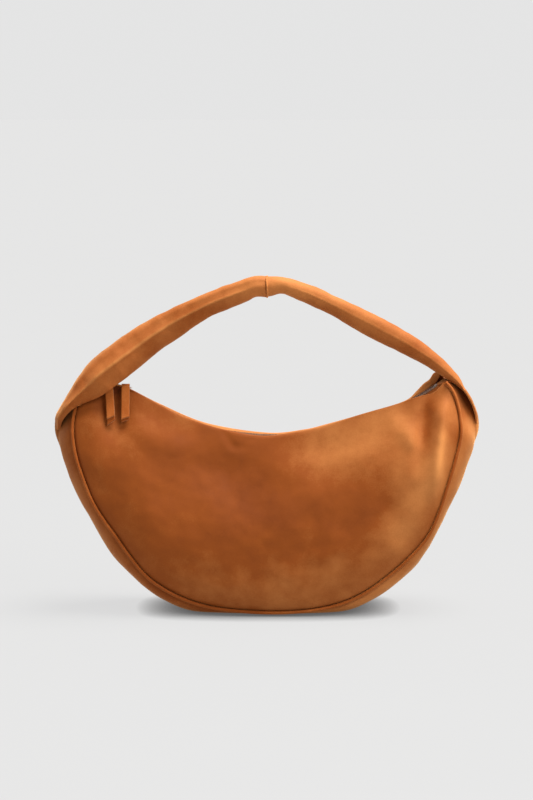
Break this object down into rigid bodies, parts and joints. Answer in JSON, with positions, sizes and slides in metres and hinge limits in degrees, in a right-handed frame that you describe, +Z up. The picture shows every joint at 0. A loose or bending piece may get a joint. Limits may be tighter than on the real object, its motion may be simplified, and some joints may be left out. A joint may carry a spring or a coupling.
{
  "type": "hobo bag",
  "caption": "Crescent-shaped soft leather hobo bag with piped seams, a short shoulder strap running on from the gusset, and a curved two-way zip with leather pulls",
  "frame": {"origin": "on the floor under the middle of the bag", "axes": "+Z up, X along the bag's width, -Y is the front where the zip pulls hang"},
  "size_m": [0.4788, 0.1084, 0.3789],
  "materials": {
    "nubuck": "matt brushed nubuck with a soft nap, cognac tan",
    "lining": "plain woven cotton",
    "zip_tape": "woven tape",
    "zip_metal": "satin nickel plate",
    "filler": "undyed cotton cord"
  },
  "bodies": {
    "bag": {"front_panel": "nubuck", "gusset_left": "nubuck", "gusset_right": "nubuck", "piping_front": "nubuck", "piping_back": "nubuck", "lining_front": "lining", "lining_gusset": "lining", "zip_tape_front": "zip_tape", "zip_teeth_front": "zip_metal", "zip_stop_left": "zip_metal", "zip_stop_right": "zip_metal"},
    "back_wall": {"back_panel": "nubuck", "lining_back": "lining", "zip_tape_back": "zip_tape", "zip_teeth_back": "zip_metal"},
    "strap": {"strap_left": "nubuck", "strap_right": "nubuck", "strap_core": "filler"},
    "zip_slider_left": {"slider_left": "zip_metal"},
    "zip_slider_right": {"slider_right": "zip_metal"},
    "link_left": {"pull_link_left": "zip_metal"},
    "link_right": {"pull_link_right": "zip_metal"},
    "tab_left": {"pull_tab_left": "nubuck"},
    "tab_right": {"pull_tab_right": "nubuck"}
  },
  "joints": [
    {"name": "mouth_open", "type": "hinge", "parent": "bag", "child": "back_wall", "pos_m": [0, 0.05, 0.01], "axis": [-1, 0, 0], "range_deg": [0, 12]},
    {"name": "strap_swing", "type": "hinge", "parent": "bag", "child": "strap", "pos_m": [0, 0, 0.275], "axis": [-1, 0, 0], "range_deg": [-90, 90]},
    {"name": "slider_left_travel", "type": "slide", "parent": "bag", "child": "zip_slider_left", "axis": [-0.9907, 0, -0.1361], "range_m": [0, 0.0028]},
    {"name": "slider_right_travel", "type": "hinge", "parent": "bag", "child": "zip_slider_right", "pos_m": [0.01, 0, 0.509], "axis": [0, -1, 0], "range_deg": [0, 65]},
    {"name": "link_left_lift", "type": "hinge", "parent": "zip_slider_left", "child": "link_left", "pos_m": [-0.18184, 0, 0.258], "axis": [-1, 0, 0], "range_deg": [0, 20]},
    {"name": "link_right_hang", "type": "hinge", "parent": "zip_slider_right", "child": "link_right", "pos_m": [-0.15634, 0, 0.25252], "axis": [0, -1, 0], "range_deg": [-65, 0]},
    {"name": "tab_left_lift", "type": "hinge", "parent": "link_left", "child": "tab_left", "pos_m": [-0.18184, -0.01747, 0.2614], "axis": [-1, 0, 0], "range_deg": [0, 110]},
    {"name": "tab_right_lift", "type": "hinge", "parent": "link_right", "child": "tab_right", "pos_m": [-0.15634, -0.01747, 0.25592], "axis": [-1, 0, 0], "range_deg": [0, 110]}
  ],
  "couplings": [
    {"joint": "link_right_hang", "follows": "slider_right_travel", "ratio": -1}
  ]
}
